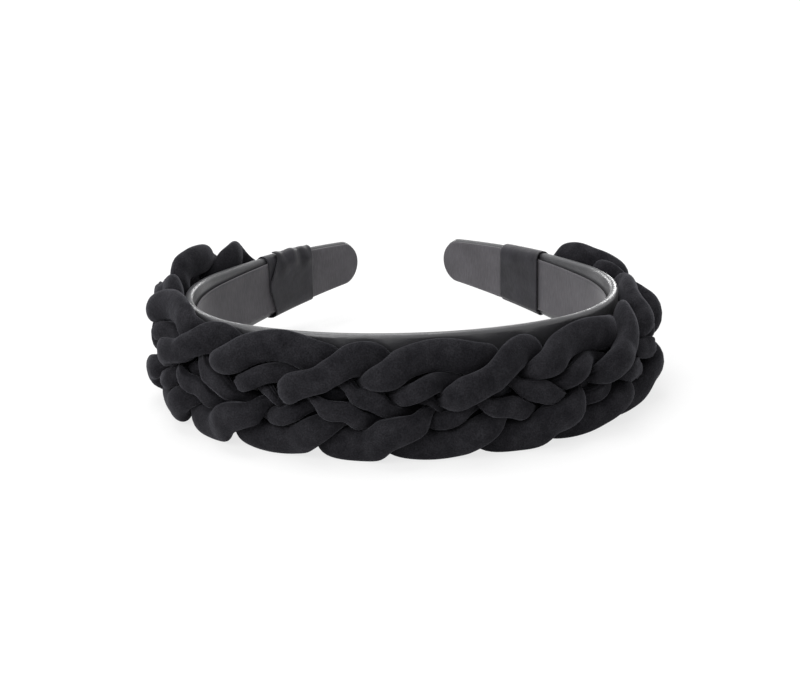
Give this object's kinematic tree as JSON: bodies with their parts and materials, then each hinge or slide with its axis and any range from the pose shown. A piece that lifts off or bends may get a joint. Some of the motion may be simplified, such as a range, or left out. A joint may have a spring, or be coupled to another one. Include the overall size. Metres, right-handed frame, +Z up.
{
  "type": "headband",
  "caption": "Open springy hoop covered in satin and lined with ribbon, carrying a flat braid of padded velvet cords bound at both ends; worn over the head to hold hair back.",
  "frame": {"origin": "middle of the part's footprint, on the surface that its lower edge rests on", "axes": "+X towards the wearer's right-hand tip as seen from the crown, +Y from the crown to the mouth between the tips, +Z up across the band's width"},
  "size_m": [0.1628, 0.1386, 0.0388],
  "materials": {
    "plastic": "matte black, springy",
    "satin": "black satin with a soft shine",
    "ribbon": "matte grey-black woven ribbon",
    "binding": "black satin ribbon, folded",
    "velvet": "black velvet with a short pile",
    "wadding": "white fibre filling"
  },
  "bodies": {
    "root": {"band_core": "plastic", "satin_cover": "satin", "lining_ribbon": "ribbon", "left_binding": "binding", "right_binding": "binding", "ply1_sleeve": "velvet", "ply1_filler": "wadding", "ply2_upper_sleeve": "velvet", "ply2_upper_filler": "wadding", "ply2_lower_sleeve": "velvet", "ply2_lower_filler": "wadding", "ply3_sleeve": "velvet", "ply3_filler": "wadding", "ply4_upper_sleeve": "velvet", "ply4_upper_filler": "wadding", "ply4_lower_sleeve": "velvet", "ply4_lower_filler": "wadding"}
  },
  "joints": []
}
